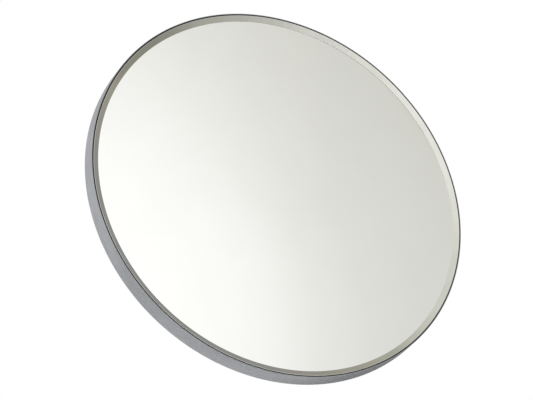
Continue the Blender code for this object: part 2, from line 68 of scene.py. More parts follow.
def raised(height):
    """A shift along local Z."""
    return Matrix.Translation((0, 0, height))


def face_size(node):
    """Width and height of a CAD node, seen from the front."""
    low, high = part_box(node)
    return (high.x - low.x, high.z - low.z)


FACE_FORWARD = spun(90, "X")                          # local +Z becomes -Y
AXIS_TO_X = spun(90, "Y")                             # local +Z becomes +X
RIM_LOW, RIM_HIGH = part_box("rim_channel")
FRONT_Y = RIM_LOW.y                                   # the rim's front plane
RIM_DEPTH = RIM_HIGH.y - RIM_LOW.y
RIM_RADIUS = RIM_HIGH.x
HEAD_PLACE = Matrix.Translation((0, FRONT_Y, 0)) @ FACE_FORWARD
JOINT_PLACE = {joint["name"]: Vector(joint["pos_m"]) for joint in frame["joints"]}
TILT_AXIS = JOINT_PLACE["tilt"]
SWIVEL_AXIS = JOINT_PLACE["swivel"]


# ---------------------------------------------------------------- mesh tools

HOLE_STEPS = 40
SHARP_ANGLE = 38                     # degrees: edges sharper than this stay crisp


def filleted(points, steps=6):
    """A closed outline whose corners are rounded; a point is (a, b) or (a, b, radius)."""
    done = []
    for index, point in enumerate(points):
        corner = Vector(point[:2])
        radius = point[2] if len(point) > 2 else 0
        if radius <= 0:
            done.append(tuple(corner))
            continue
        before = (Vector(points[index - 1][:2]) - corner).normalized()
        after = (Vector(points[(index + 1) % len(points)][:2]) - corner).normalized()
        half = before.angle(after) / 2
        middle = corner + (before + after).normalized() * radius / math.sin(half)
        start = corner + before * radius / math.tan(half) - middle
        end = corner + after * radius / math.tan(half) - middle
        turn = math.atan2(start.x * end.y - start.y * end.x, start.dot(end))
        first = math.atan2(start.y, start.x)
        for step in range(steps + 1):
            angle = first + turn * step / steps
            done.append((middle.x + radius * math.cos(angle), middle.y + radius * math.sin(angle)))
    return done


def arc(centre, radius, start, end, steps):
    """Points along an arc, in degrees, both ends included."""
    points = []
    for index in range(steps + 1):
        angle = math.radians(start + (end - start) * index / steps)
        points.append((centre[0] + radius * math.cos(angle), centre[1] + radius * math.sin(angle)))
    return points


def corners(place):
    """The four places of a rectangular pattern, counter-clockwise from the upper right."""
    return [(place[0], place[1]), (-place[0], place[1]), (-place[0], -place[1]), (place[0], -place[1])]


def rounded_rectangle(centre, size, radius, steps=10):
    """The outline of a rectangle with round corners."""
    half_x, half_y = size[0] / 2, size[1] / 2
    outline = [(centre[0] + x * half_x, centre[1] + y * half_y, radius)
               for x, y in ((1, 1), (-1, 1), (-1, -1), (1, -1))]
    return filleted(outline, steps)


def linked(name, data):
    """A new object in the scene."""
    made = bpy.data.objects.new(name, data)
    bpy.context.scene.collection.objects.link(made)
    return made


def discard(piece):
    bpy.data.objects.remove(piece, do_unlink=True)


def to_object(shape, name="work"):
    """A mesh object from a bmesh, with its normals facing out."""
    bmesh.ops.recalc_face_normals(shape, faces=shape.faces)
    mesh = bpy.data.meshes.new(name)
    shape.to_mesh(mesh)
    shape.free()
    return linked(name, mesh)


def turned(profile, steps, placing=Matrix()):
    """A closed shape turned about local Z from (radius, height) points."""
    shape = bmesh.new()
    angles = [2 * math.pi * index / steps for index in range(steps)]
    rings = []
    for radius, height in profile:
        if radius < TINY:
            rings.append([shape.verts.new(placing @ Vector((0, 0, height)))] * steps)
            continue
        ring = []
        for angle in angles:
            place = Vector((radius * math.cos(angle), radius * math.sin(angle), height))
            ring.append(shape.verts.new(placing @ place))
        rings.append(ring)
    last = len(rings) - (1 if profile[0][0] < TINY else 0)
    for index in range(last):
        upper, lower = rings[index], rings[(index + 1) % len(rings)]
        for side in range(steps):
            after = (side + 1) % steps
            loop = list(dict.fromkeys((upper[side], upper[after], lower[after], lower[side])))
            if len(loop) > 2:
                shape.faces.new(loop)
    return to_object(shape)


def cylinder(radius, low, high, steps, placing=Matrix()):
    """A round rod along local Z, between two heights."""
    return turned([(0, low), (radius, low), (radius, high), (0, high)], steps, placing)


def prism(outline, low, high, placing=Matrix()):
    """A flat plate from a closed outline, between two heights along local Z."""
    shape = bmesh.new()
    loops = [[shape.verts.new(placing @ Vector((x, y, height))) for x, y in outline]
             for height in (low, high)]
    shape.faces.new(loops[0])
    shape.faces.new(loops[1])
    for index in range(len(outline)):
        after = (index + 1) % len(outline)
        shape.faces.new((loops[0][index], loops[0][after], loops[1][after], loops[1][index]))
    return to_object(shape)


def apply_modifiers(piece):
    """Make a piece's modifiers part of its mesh."""
    bpy.context.view_layer.update()
    ready = piece.evaluated_get(bpy.context.evaluated_depsgraph_get())
    mesh = bpy.data.meshes.new_from_object(ready)
    piece.modifiers.clear()
    piece.data = mesh


def combine(piece, tool, operation="DIFFERENCE", solver="EXACT"):
    """Cut a piece with a tool, join them, or keep what they share; the tool is used up."""
    boolean = piece.modifiers.new("boolean", "BOOLEAN")
    boolean.operation = operation
    boolean.solver = solver
    boolean.object = tool
    apply_modifiers(piece)
    discard(tool)


def drill(piece, places, radius, low, high, placing=Matrix()):
    """Cut round holes through a piece along the placing's Z, all in one go."""
    tools = [cylinder(radius, low, high, HOLE_STEPS, placing @ Matrix.Translation((x, y, 0)))
             for x, y in places]
    combine(piece, joined(tools))


def soften(piece, width, segments=3, angle=32):
    """Round a piece's sharp edges, and keep its flats flat."""
    bevel = piece.modifiers.new("edges", "BEVEL")
    bevel.width = width
    bevel.segments = segments
    bevel.limit_method = "ANGLE"
    bevel.angle_limit = math.radians(angle)
    bevel.use_clamp_overlap = True
    bevel.harden_normals = False
    apply_modifiers(piece)


def moved(piece, placing):
    """The same piece, its mesh at another place."""
    piece.data.transform(placing)
    return piece


def copied(piece, placing):
    """A copy of a piece's mesh at another place."""
    return moved(linked("work", piece.data.copy()), placing)


def joined(pieces):
    """One object that holds several shapes."""
    shape = bmesh.new()
    for piece in pieces:
        shape.from_mesh(piece.data)
        discard(piece)
    return to_object(shape)


def show(piece, name, look, body, node):
    """Name a finished piece, give it its material, and tie it to the frame in its node's stead."""
    piece.name = name
    piece.data.name = name
    piece.data.materials.clear()
    piece.data.materials.append(LOOKS[look])
    piece.data.shade_smooth()
    piece.data.set_sharp_from_angle(angle=math.radians(SHARP_ANGLE))
    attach(piece, body)
    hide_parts(node)


# ---------------------------------------------------------------- material tools

class Look:
    """A procedural material. Sizes are in metres of the part's own surface."""

    def __init__(self, name, metallic, specular=0.5):
        self.made = bpy.data.materials.new(name)
        self.made.use_nodes = True
        self.tree = self.made.node_tree
        self.shader = self.tree.nodes["Principled BSDF"]
        self.shader.inputs["Metallic"].default_value = metallic
        self.shader.inputs["Specular IOR Level"].default_value = specular
        self.place = self.add("ShaderNodeTexCoord").outputs["Object"]
        self.height = None

    def add(self, kind, **settings):
        node = self.tree.nodes.new(kind)
        for key, value in settings.items():
            setattr(node, key, value)
        return node

    def link(self, source, target):
        if isinstance(source, bpy.types.NodeSocket):
            self.tree.links.new(source, target)
        else:
            target.default_value = source

    def maths(self, operation, *values):
        node = self.add("ShaderNodeMath", operation=operation)
        for value, socket in zip(values, node.inputs):
            self.link(value, socket)
        return node.outputs[0]

    def stretched(self, x, y, z):
        """The surface's place with each direction scaled by its own number."""
        node = self.add("ShaderNodeVectorMath", operation="MULTIPLY")
        self.link(self.place, node.inputs[0])
        node.inputs[1].default_value = (x, y, z)
        return node.outputs[0]

    def round_the_rim(self, along, across):
        """A place whose first two numbers run slowly round the mirror's axis, and whose third
        runs fast across the surface."""
        parts = self.add("ShaderNodeSeparateXYZ")
        self.link(self.place, parts.inputs[0])
        flat = self.add("ShaderNodeCombineXYZ")
        self.link(parts.outputs["X"], flat.inputs["X"])
        self.link(parts.outputs["Z"], flat.inputs["Y"])
        length = self.add("ShaderNodeVectorMath", operation="LENGTH")
        self.link(flat.outputs[0], length.inputs[0])
        over = self.maths("ADD", parts.outputs["Y"], length.outputs["Value"])
        placed = self.add("ShaderNodeCombineXYZ")
        self.link(self.maths("MULTIPLY", parts.outputs["X"], 1 / along), placed.inputs["X"])
        self.link(self.maths("MULTIPLY", parts.outputs["Z"], 1 / along), placed.inputs["Y"])
        self.link(self.maths("MULTIPLY", over, 1 / across), placed.inputs["Z"])
        return placed.outputs[0]

    def noise(self, size=1.0, detail=3.0, place=None, distortion=0.0):
        """Cloudy noise from 0 to 1, about 0.5, with lumps of that size."""
        node = self.add("ShaderNodeTexNoise")
        self.link(place or self.place, node.inputs["Vector"])
        node.inputs["Scale"].default_value = 1 / size
        node.inputs["Detail"].default_value = detail
        node.inputs["Distortion"].default_value = distortion
        return node.outputs["Fac"]

    def cells(self, size, output="Color"):
        """A pattern of cells of that size: the colour of each, or the distance to its middle."""
        node = self.add("ShaderNodeTexVoronoi")
        self.link(self.place, node.inputs["Vector"])
        node.inputs["Scale"].default_value = 1 / size
        return node.outputs[output]

    def spread(self, value, low, high, from_low=0.3, from_high=0.7):
        """A number between low and high, where the noise goes from from_low to from_high."""
        node = self.add("ShaderNodeMapRange")
        self.link(value, node.inputs["Value"])
        node.inputs["From Min"].default_value = from_low
        node.inputs["From Max"].default_value = from_high
        node.inputs["To Min"].default_value = low
        node.inputs["To Max"].default_value = high
        return node.outputs["Result"]

    def mixed(self, factor, first, second):
        node = self.add("ShaderNodeMix", data_type="RGBA")
        self.link(factor, node.inputs["Factor"])
        for value, socket in ((first, node.inputs["A"]), (second, node.inputs["B"])):
            self.link(value if isinstance(value, bpy.types.NodeSocket) else (*value, 1), socket)
        return node.outputs["Result"]

    def paint(self, factor, first, second):
        """Colour that goes from the first to the second with a factor; returns it."""
        colour = self.mixed(factor, first, second)
        self.link(colour, self.shader.inputs["Base Color"])
        return colour

    def rough(self, value):
        self.link(value, self.shader.inputs["Roughness"])

    def bump(self, height, depth, strength=1.0):
        """Raise the surface by up to depth where height is 1; several bumps add up."""
        node = self.add("ShaderNodeBump")
        node.inputs["Strength"].default_value = strength
        node.inputs["Distance"].default_value = depth
        self.link(height, node.inputs["Height"])
        if self.height is not None:
            self.link(self.height, node.inputs["Normal"])
        self.height = node.outputs["Normal"]
        self.link(self.height, self.shader.inputs["Normal"])


def satin_aluminium():
    """Rolled sheet, satin finished round the hoop: long streaks, and a little mottling."""
    look = Look("satin_aluminium", 1.0)
    fine = look.noise(place=look.round_the_rim(26 * MM, 0.22 * MM), detail=4)
    broad = look.noise(place=look.round_the_rim(60 * MM, 2.6 * MM), detail=2)
    cloud = look.noise(14 * MM, 3)
    streaks = look.maths("MULTIPLY", fine, 0.4)
    patches = look.maths("ADD", look.maths("MULTIPLY", broad, 0.4), look.maths("MULTIPLY", cloud, 0.2))
    tone = look.maths("ADD", streaks, patches)
    look.paint(look.spread(tone, 0, 1, 0.4, 0.6), (0.385, 0.396, 0.414), (0.440, 0.450, 0.466))
    look.rough(look.spread(tone, 0.40, 0.30))
    look.bump(fine, 0.012 * MM, 0.6)
    return look.made


def polished_stainless():
    """Bright sheet with hair-fine polishing lines round the ring."""
    look = Look("polished_stainless", 1.0)
    fine = look.noise(place=look.round_the_rim(40 * MM, 0.15 * MM), detail=3)
    cloud = look.noise(30 * MM, 2)
    look.paint(look.spread(cloud, 0, 1), (0.80, 0.795, 0.745), (0.86, 0.855, 0.81))
    look.rough(look.spread(fine, 0.13, 0.08))
    look.bump(fine, 0.004 * MM, 0.5)
    return look.made


def mirror_face():
    """A silvered face, with the faint haze and few specks of handling."""
    look = Look("mirror_face", 1.0)
    haze = look.noise(90 * MM, 3, distortion=0.6)
    wiped = look.noise(place=look.stretched(9, 9, 60), detail=4)
    speck = look.cells(55 * MM, "Distance")
    spots = look.spread(speck, 1, 0, 0.010, 0.028)
    clean = look.mixed(look.spread(haze, 0, 1), (0.948, 0.950, 0.928), (0.964, 0.966, 0.946))
    look.paint(look.maths("MULTIPLY", spots, 0.55), clean, (0.80, 0.79, 0.76))
    look.rough(look.maths("ADD", look.spread(wiped, 0.012, 0.030), look.maths("MULTIPLY", spots, 0.2)))
    return look.made


def black_rubber():
    """Moulded rubber with a fine grain and a faint bloom."""
    look = Look("black_rubber", 0.0, 0.3)
    grain = look.noise(0.6 * MM, 3)
    bloom = look.noise(18 * MM, 3)
    look.paint(look.spread(bloom, 0, 1), (0.016, 0.017, 0.017), (0.034, 0.035, 0.034))
    look.rough(look.spread(grain, 0.62, 0.82))
    look.bump(grain, 0.05 * MM, 0.5)
    return look.made


def grey_foam():
    """Open-pored sealing foam."""
    look = Look("grey_foam", 0.0, 0.2)
    pores = look.cells(0.9 * MM, "Distance")
    look.paint(look.spread(pores, 0, 1, 0.1, 0.6), (0.07, 0.07, 0.072), (0.17, 0.17, 0.172))
    look.rough(look.spread(pores, 0.95, 0.82, 0.1, 0.6))
    look.bump(pores, 0.25 * MM, 0.8)
    return look.made


def grey_painted_steel():
    """Powder coat: orange peel under a satin sheen, and a trace of dust."""
    look = Look("grey_painted_steel", 0.0, 0.5)
    peel = look.noise(1.9 * MM, 2)
    grit = look.noise(0.35 * MM, 2)
    dust = look.noise(70 * MM, 4)
    look.paint(look.spread(dust, 0, 1), (0.255, 0.268, 0.282), (0.312, 0.323, 0.335))
    look.rough(look.spread(dust, 0.36, 0.48))
    look.bump(peel, 0.055 * MM, 0.55)
    look.bump(grit, 0.010 * MM, 0.4)
    return look.made


def galvanised_steel():
    """Hot-dip zinc: dull flakes a few millimetres across, each with its own tone and sheen."""
    look = Look("galvanised_steel", 1.0)
    flake = look.add("ShaderNodeSeparateColor")
    look.link(look.cells(6.5 * MM), flake.inputs[0])
    cloud = look.noise(24 * MM, 4)
    grain = look.noise(0.5 * MM, 3)
    tone = look.maths("ADD", look.maths("MULTIPLY", flake.outputs["Red"], 0.62),
                      look.maths("MULTIPLY", cloud, 0.38))
    look.paint(look.spread(tone, 0, 1, 0.15, 0.85), (0.415, 0.430, 0.450), (0.600, 0.615, 0.632))
    look.rough(look.spread(flake.outputs["Green"], 0.36, 0.56, 0, 1))
    look.bump(grain, 0.03 * MM, 0.5)
    look.bump(flake.outputs["Blue"], 0.010 * MM, 0.35)
    return look.made


def zinc_plated_steel():
    """Bright plating over a turned or forged blank, with a faint yellow and blue cast."""
    look = Look("zinc_plated_steel", 1.0)
    cast = look.noise(5 * MM, 2)
    grain = look.noise(0.3 * MM, 3)
    look.paint(look.spread(cast, 0, 1), (0.60, 0.615, 0.635), (0.70, 0.690, 0.650))
    look.rough(look.spread(look.noise(2.4 * MM, 3), 0.22, 0.36))
    look.bump(grain, 0.008 * MM, 0.5)
    return look.made


def cast_aluminium():
    """Blasted casting: coarse grain, small pits, and a slight cloudiness."""
    look = Look("cast_aluminium", 1.0)
    grain = look.noise(0.75 * MM, 4)
    cloud = look.noise(16 * MM, 3)
    pits = look.cells(3.2 * MM, "Distance")
    look.paint(look.spread(cloud, 0, 1), (0.420, 0.430, 0.440), (0.520, 0.530, 0.540))
    look.rough(look.spread(grain, 0.58, 0.44))
    look.bump(grain, 0.10 * MM, 0.6)
    look.bump(look.spread(pits, 0, 1, 0.04, 0.13), 0.12 * MM, 0.5)
    return look.made


def black_nylon():
    """Moulded nylon with a fine grain."""
    look = Look("black_nylon", 0.0, 0.4)
    grain = look.noise(0.4 * MM, 2)
    look.paint(look.spread(look.noise(6 * MM, 2), 0, 1), (0.020, 0.020, 0.021), (0.036, 0.036, 0.038))
    look.rough(look.spread(grain, 0.38, 0.52))
    look.bump(grain, 0.02 * MM, 0.4)
    return look.made


LOOKS = {maker.__name__: maker() for maker in (
    satin_aluminium, polished_stainless, mirror_face, black_rubber, grey_foam, grey_painted_steel,
    galvanised_steel, zinc_plated_steel, cast_aluminium, black_nylon)}


# ---------------------------------------------------------------- camera, light and floor

CAMERA_AZIMUTH = 23.7                # degrees to the mirror's own right, which is the viewer's left
CAMERA_ELEVATION = -28.2             # the camera looks up at the mirror
CAMERA_DISTANCE = 4.0
CAMERA_REACH = 200                   # nothing is drawn beyond this distance
LENS = 180.0
SENSOR_WIDTH = 36.0
AIM_Y = FRONT_Y / 2 - 110 * MM       # place of the aimed point on the mirror's axis
AIM_SLIDE = (-16.0 * MM, -8.3 * MM)  # how far the camera slides right and up, off the aimed point
FLOOR_HEIGHT = -2.4
FLOOR_CLEAR = (6.5, 11.0)            # the floor fades into the studio between these distances
# place and size of a dark card that shows only in reflections: painted shade on the side of the rim's
# edge
SHADE_CARD_PLACE = (-1.0, 0.75, FLOOR_HEIGHT + 20 * MM)
SHADE_CARD_HALF_SIZE = (2.6, 1.1)
LIGHTS = {"overhead_light": ((-1.0, 2.2, 4.0), 3.0, 260),       # place, width and power
          "front_light": ((-2.5, -3.5, 2.0), 2.0, 50)}

# Each part of the studio has a direction, and tones that go with the cosine of the angle to it.
WORLD_STRENGTH = 1.06
WHITE, BLACK = (1.0, 1.0, 1.0), (0.0, 0.0, 0.0)
SOFTBOX = Vector((0.0, -0.975, 0.221)).normalized()     # direction of the large light in front
SOFTBOX_TONES = [
    (0.0, (0.245, 0.236, 0.194)), (0.35, (0.284, 0.276, 0.228)), (0.55, (0.378, 0.370, 0.322)),
    (0.64, (0.445, 0.442, 0.400)), (0.71, (0.632, 0.632, 0.596)), (0.80, (0.670, 0.674, 0.644)),
    (0.86, (0.715, 0.720, 0.694)), (0.90, (0.782, 0.786, 0.762)), (0.93, (0.876, 0.879, 0.860)),
    (0.955, (0.944, 0.946, 0.935)), (1.0, WHITE)]
PANEL = Vector((0.103, -0.970, 0.218)).normalized()     # middle of the tall bright part of that light
PANEL_ACROSS = Vector((0.967, 0.149, 0.205)).normalized()   # the direction in which that part is narrow
PANEL_NARROWING = -1.231
PANEL_TONES = [
    (0.34, BLACK), (0.39, (0.603, 0.600, 0.556)), (0.48, (0.634, 0.632, 0.590)),
    (0.58, (0.660, 0.660, 0.622)), (0.68, (0.704, 0.705, 0.672)), (0.77, (0.750, 0.754, 0.722)),
    (0.82, (0.796, 0.800, 0.770)), (0.87, (0.846, 0.851, 0.826)), (0.92, (0.910, 0.914, 0.896)),
    (0.967, (0.972, 0.975, 0.964)), (1.0, WHITE)]
CEILING = Vector((-0.35, -0.35, 0.87)).normalized()     # where the tall light ends
CEILING_TONES = [(0.81, WHITE), (0.93, BLACK)]
BACKDROP = Vector((-0.75, 0.60, 0.20)).normalized()     # brightest direction of the wall behind
BACKDROP_TONES = [
    (0.0, (0.28, 0.282, 0.285)), (0.2, (0.32, 0.322, 0.325)), (0.43, (0.50, 0.503, 0.507)),
    (0.67, (0.665, 0.668, 0.672)), (0.86, (0.775, 0.778, 0.782)), (0.955, (0.87, 0.873, 0.877)),
    (1.0, (0.92, 0.923, 0.927))]
SIDE = Vector((-1.0, -0.1, 0.1)).normalized()           # direction of the pale wall at the side
SIDE_TONES = [(0.30, BLACK), (0.80, (0.92, 0.93, 0.94))]
FLAG = Vector((0.75, -0.55, -0.35)).normalized()        # direction of a grey flag low on the right
FLAG_TONES = [(0.79, WHITE), (0.86, (0.74, 0.74, 0.74)), (0.92, (0.66, 0.66, 0.66))]


def make_camera():
    """A long lens, looking up at the mirror from its right-hand side."""
    azimuth, elevation = math.radians(CAMERA_AZIMUTH), math.radians(CAMERA_ELEVATION)
    back = Vector((-math.sin(azimuth) * math.cos(elevation),
                   -math.cos(azimuth) * math.cos(elevation), math.sin(elevation)))
    right = Vector((0, 0, 1)).cross(back).normalized()
    up = back.cross(right)
    camera = linked("camera", bpy.data.cameras.new("camera"))
    camera.data.lens = LENS
    camera.data.sensor_width = SENSOR_WIDTH
    camera.data.clip_end = CAMERA_REACH
    camera.location = (Vector((0, AIM_Y, 0)) + back * CAMERA_DISTANCE
                       + right * AIM_SLIDE[0] + up * AIM_SLIDE[1])
    camera.rotation_mode = "QUATERNION"
    camera.rotation_quaternion = (-back).to_track_quat("-Z", "Y")
    bpy.context.scene.camera = camera


def make_world():
    """A soft studio: a large light in front that falls off to a dim ceiling, and pale walls.
    The object mirrors the studio, and behind it the camera sees plain white paper."""
    world = bpy.data.worlds.new("studio")
    bpy.context.scene.world = world
    world.use_nodes = True
    tree = world.node_tree
    direction = tree.nodes.new("ShaderNodeTexCoord").outputs["Generated"]
    background = tree.nodes["Background"]

    def facing(towards):
        dot = tree.nodes.new("ShaderNodeVectorMath")
        dot.operation = "DOT_PRODUCT"
        tree.links.new(direction, dot.inputs[0])
        dot.inputs[1].default_value = towards
        return dot.outputs["Value"]

    def number(operation, first, second):
        node = tree.nodes.new("ShaderNodeMath")
        node.operation = operation
        for value, socket in ((first, node.inputs[0]), (second, node.inputs[1])):
            if isinstance(value, bpy.types.NodeSocket):
                tree.links.new(value, socket)
            else:
                socket.default_value = value
        return node.outputs[0]

    def ramp(value, stops):
        made = tree.nodes.new("ShaderNodeValToRGB")
        tree.links.new(value, made.inputs[0])
        made.color_ramp.interpolation = "LINEAR"
        while len(made.color_ramp.elements) < len(stops):
            made.color_ramp.elements.new(0.5)
        for element, (place, tone) in zip(made.color_ramp.elements, stops):
            element.position = place
            element.color = (*tone, 1)
        return made.outputs["Color"]

    def blended(how, first, second):
        mix = tree.nodes.new("ShaderNodeMix")
        mix.data_type = "RGBA"
        mix.blend_type = how
        mix.inputs["Factor"].default_value = 1.0
        tree.links.new(first, mix.inputs["A"])
        tree.links.new(second, mix.inputs["B"])
        return mix.outputs["Result"]

    surround = ramp(facing(SOFTBOX), SOFTBOX_TONES)
    across = facing(PANEL_ACROSS)
    narrow = number("MULTIPLY", number("MULTIPLY", across, across), PANEL_NARROWING)
    panel = ramp(number("ADD", facing(PANEL), narrow), PANEL_TONES)
    panel = blended("MULTIPLY", panel, ramp(facing(CEILING), CEILING_TONES))
    behind = ramp(facing(BACKDROP), BACKDROP_TONES)
    side = ramp(facing(SIDE), SIDE_TONES)
    flag = ramp(facing(FLAG), FLAG_TONES)
    front = blended("LIGHTEN", surround, panel)
    walls = blended("LIGHTEN", blended("LIGHTEN", front, behind), side)
    tree.links.new(blended("MULTIPLY", walls, flag), background.inputs["Color"])
    background.inputs["Strength"].default_value = WORLD_STRENGTH
    paper = tree.nodes.new("ShaderNodeBackground")
    paper.inputs["Color"].default_value = (*WHITE, 1.0)
    seen = tree.nodes.new("ShaderNodeMixShader")
    tree.links.new(tree.nodes.new("ShaderNodeLightPath").outputs["Is Camera Ray"], seen.inputs[0])
    tree.links.new(background.outputs[0], seen.inputs[1])
    tree.links.new(paper.outputs[0], seen.inputs[2])
    tree.links.new(seen.outputs[0], tree.nodes["World Output"].inputs["Surface"])


def make_floor():
    """A plain pale floor, which fades out with distance so that it has no edge."""
    shape = bmesh.new()
    bmesh.ops.create_grid(shape, x_segments=8, y_segments=8, size=FLOOR_CLEAR[1] * 1.2)
    floor = to_object(shape, "floor")
    floor.location.z = FLOOR_HEIGHT
    look = Look("pale_floor", 0.0, 0.2)
    look.paint(look.spread(look.noise(0.6, 3), 0, 1), (0.88, 0.884, 0.888), (0.91, 0.912, 0.915))
    look.rough(0.85)
    distance = look.add("ShaderNodeVectorMath", operation="LENGTH")
    look.link(look.place, distance.inputs[0])
    fade = look.spread(distance.outputs["Value"], 1, 0, *FLOOR_CLEAR)
    look.link(fade, look.shader.inputs["Alpha"])
    floor.data.materials.append(look.made)


def make_reflected_shade_card():
    """Painted shade: a dark card on the floor behind the mirror's plane, seen only in reflections,
    darkens the side of the rim's edge.
    """
    place = Matrix.Translation(SHADE_CARD_PLACE) @ Matrix.Diagonal((*SHADE_CARD_HALF_SIZE, 1, 1))
    card = cylinder(1, 0, 5 * MM, 96, place)
    card.name = "reflected_shade_card"
    look = Look("reflected_shade_card", 0.0, 0.1)
    look.paint(look.noise(0.4, 2), (0.02, 0.02, 0.02), (0.03, 0.03, 0.03))
    look.rough(0.95)
    card.data.materials.append(look.made)
    # the card shows only in glossy reflections, as painted shade on the rim's edge
    for ray in ("camera", "diffuse", "shadow", "transmission"):
        setattr(card, f"visible_{ray}", False)


def make_light(name, position, size, power):
    """A soft light that faces the object; metal doesn't mirror its outline."""
    lamp = bpy.data.lights.new(name, "AREA")
    lamp.shape = "DISK"
    lamp.size = size
    lamp.energy = power
    light = linked(name, lamp)
    light.location = position
    light.rotation_euler = (-Vector(position)).to_track_quat("-Z", "Y").to_euler()
    light.visible_glossy = False
    light.visible_camera = False


def make_studio():
    make_camera()
    make_world()
    make_floor()
    make_reflected_shade_card()
    for name, (position, size, power) in LIGHTS.items():
        make_light(name, position, size, power)
    bpy.context.scene.view_settings.view_transform = "Standard"


# ---------------------------------------------------------------- mirror head, seen from the front

RING_STEPS = 360
SIGHT_RADIUS = 290.4 * MM            # radius of the mirror face left open by the bezel
RIM_WALL = 1.2 * MM
RIM_FLANGE_RADIUS = 284 * MM
BEZEL_SHEET = 0.8 * MM
BEZEL_OUTER_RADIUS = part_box("bezel_ring")[1].x - 0.5 * MM      # a little slack, so that the joint shows
BEZEL_SAG = 0.4 * MM                 # how low the bezel hangs in the hoop, within its clearance
BEZEL_CROWN = 0.6 * MM               # how far the bezel stands past the rim's front plane
BEZEL_SKIRT_RADIUS = 297.1 * MM
DOME_CURVATURE = 2200 * MM
DOME_LOW, DOME_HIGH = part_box("mirror_dome")
DOME_THICKNESS = 2 * MM
DOME_EDGE_RADIUS = DOME_HIGH.x
DOME_APEX = FRONT_Y - DOME_LOW.y     # how far the face bulges past the rim's front plane
RIM_SCREW_CIRCLE = 291 * MM
RIM_SCREW_RADIUS = 2 * MM
RIM_SCREW_PLACES = arc((0, 0), RIM_SCREW_CIRCLE, 22.5, 337.5, 7)


def dome_forward(radius):
    """Height of the mirror face at a radius from its centre."""
    return DOME_APEX - DOME_CURVATURE + math.sqrt(DOME_CURVATURE ** 2 - radius ** 2)


def make_rim_hoop():
    """The hoop: a deep wall with a thin, rounded front edge and a flat rear flange."""
    inner = RIM_RADIUS - RIM_WALL
    rear = RIM_WALL - RIM_DEPTH
    edge, heel, corner = 0.58 * MM, 1.4 * MM, 0.4 * MM
    profile = [(RIM_RADIUS, 0, edge), (RIM_RADIUS, -RIM_DEPTH, heel),
               (RIM_FLANGE_RADIUS, -RIM_DEPTH, corner), (RIM_FLANGE_RADIUS, rear, corner),
               (inner, rear, 0.8 * MM), (inner, 0, edge)]
    hoop = turned(filleted(profile, 9), RING_STEPS, HEAD_PLACE)
    drill(hoop, RIM_SCREW_PLACES, RIM_SCREW_RADIUS + 2 * GAP, -RIM_DEPTH - MM, rear + MM, HEAD_PLACE)
    show(hoop, "rim_hoop", "satin_aluminium", "mirror_head", "rim_channel")


def make_gasket():
    """The rubber ring between the hoop and the bezel's skirt, whose nose shows in the gap."""
    snug = 0.1 * MM
    inner, outer = BEZEL_SKIRT_RADIUS + BEZEL_SAG + GAP, RIM_RADIUS - RIM_WALL - snug
    nose = BEZEL_OUTER_RADIUS + BEZEL_SAG + snug
    top, shoulder, bottom = -0.5 * MM, -2.4 * MM, -9.5 * MM
    profile = [(inner, shoulder, 0.3 * MM), (nose, shoulder), (nose, top, 0.15 * MM),
               (outer, top, 0.15 * MM), (outer, bottom, 0.5 * MM), (inner, bottom)]
    gasket = turned(filleted(profile, 4), RING_STEPS, HEAD_PLACE)
    show(gasket, "gasket_ring", "black_rubber", "mirror_head", "rim_gasket")


def make_bezel():
    """The bright ring that slopes in to the mirror, its edge turned down, with a skirt under it."""
    under = dome_forward(SIGHT_RADIUS) + 0.06 * MM
    rim_end, skirt_end = -1.6 * MM, -9 * MM
    crease = 0.2 * MM
    steepness = (BEZEL_CROWN - under) / (BEZEL_OUTER_RADIUS - SIGHT_RADIUS)
    edge = (BEZEL_OUTER_RADIUS - BEZEL_SHEET, BEZEL_CROWN - 1.5 * BEZEL_SHEET)
    fold = (BEZEL_SKIRT_RADIUS, edge[1] - (edge[0] - BEZEL_SKIRT_RADIUS) * steepness)
    skirt_inner = fold[0] - BEZEL_SHEET
    low = Vector((SIGHT_RADIUS, under + 0.26 * MM))
    high = Vector((BEZEL_OUTER_RADIUS, BEZEL_CROWN))
    slope = [tuple(low.lerp(high, share)) for share in (0.05, 0.5, 0.92)]     # keeps the slope straight
    profile = [(*low, 0.12 * MM), *slope, (*high, 0.35 * MM), (BEZEL_OUTER_RADIUS, rim_end, crease),
               (edge[0], rim_end, crease), (*edge, crease), fold, (fold[0], skirt_end),
               (skirt_inner, skirt_end), (skirt_inner, fold[1] - 0.3 * MM),
               (SIGHT_RADIUS + 0.5 * MM, under)]
    bezel = turned(filleted(profile), RING_STEPS, raised(-BEZEL_SAG) @ HEAD_PLACE)
    show(bezel, "bright_bezel", "polished_stainless", "mirror_head", "bezel_ring")


def make_mirror_sheet():
    """The convex sheet, in rings close enough for its reflections to flow."""
    rings = 72
    radii = [DOME_EDGE_RADIUS * index / rings for index in range(rings + 1)]
    front = [(radius, dome_forward(radius)) for radius in radii]
    back = [(radius, forward - DOME_THICKNESS) for radius, forward in reversed(front[::6])]
    sheet = turned(front + back, RING_STEPS, HEAD_PLACE)
    show(sheet, "mirror_sheet", "mirror_face", "mirror_head", "mirror_dome")


# ---------------------------------------------------------------- mirror head, seen from behind

PAN_SHEET = 1.2 * MM
PAN_REAR = FRONT_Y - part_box("back_pan")[1].y          # height of the pan's flat, below the front plane
PAN_LAND = RIM_WALL - RIM_DEPTH + GAP
PAN_MOUTH_RADIUS = 286.5 * MM
DRAIN_CIRCLE = 250 * MM
DRAIN_RADIUS = 2.5 * MM
BOLT_PLACE = (50 * MM, 40 * MM)
SMALL_RADIUS = 4 * MM                                 # M8
SMALL_HOLE = 4.4 * MM
SMALL_FLATS = 13 * MM
SMALL_NUT = 6.5 * MM
CLEVIS_HIGH = PAN_REAR - GAP
CLEVIS_PLATE = 4.5 * MM
CLEVIS_LOW = CLEVIS_HIGH - CLEVIS_PLATE
CLEVIS_FOOT = 36 * MM
LUG_INNER = 22.1 * MM
LUG_OUTER = 27.1 * MM
LUG_RADIUS = 17 * MM
JOINT_HOLE = 6.4 * MM


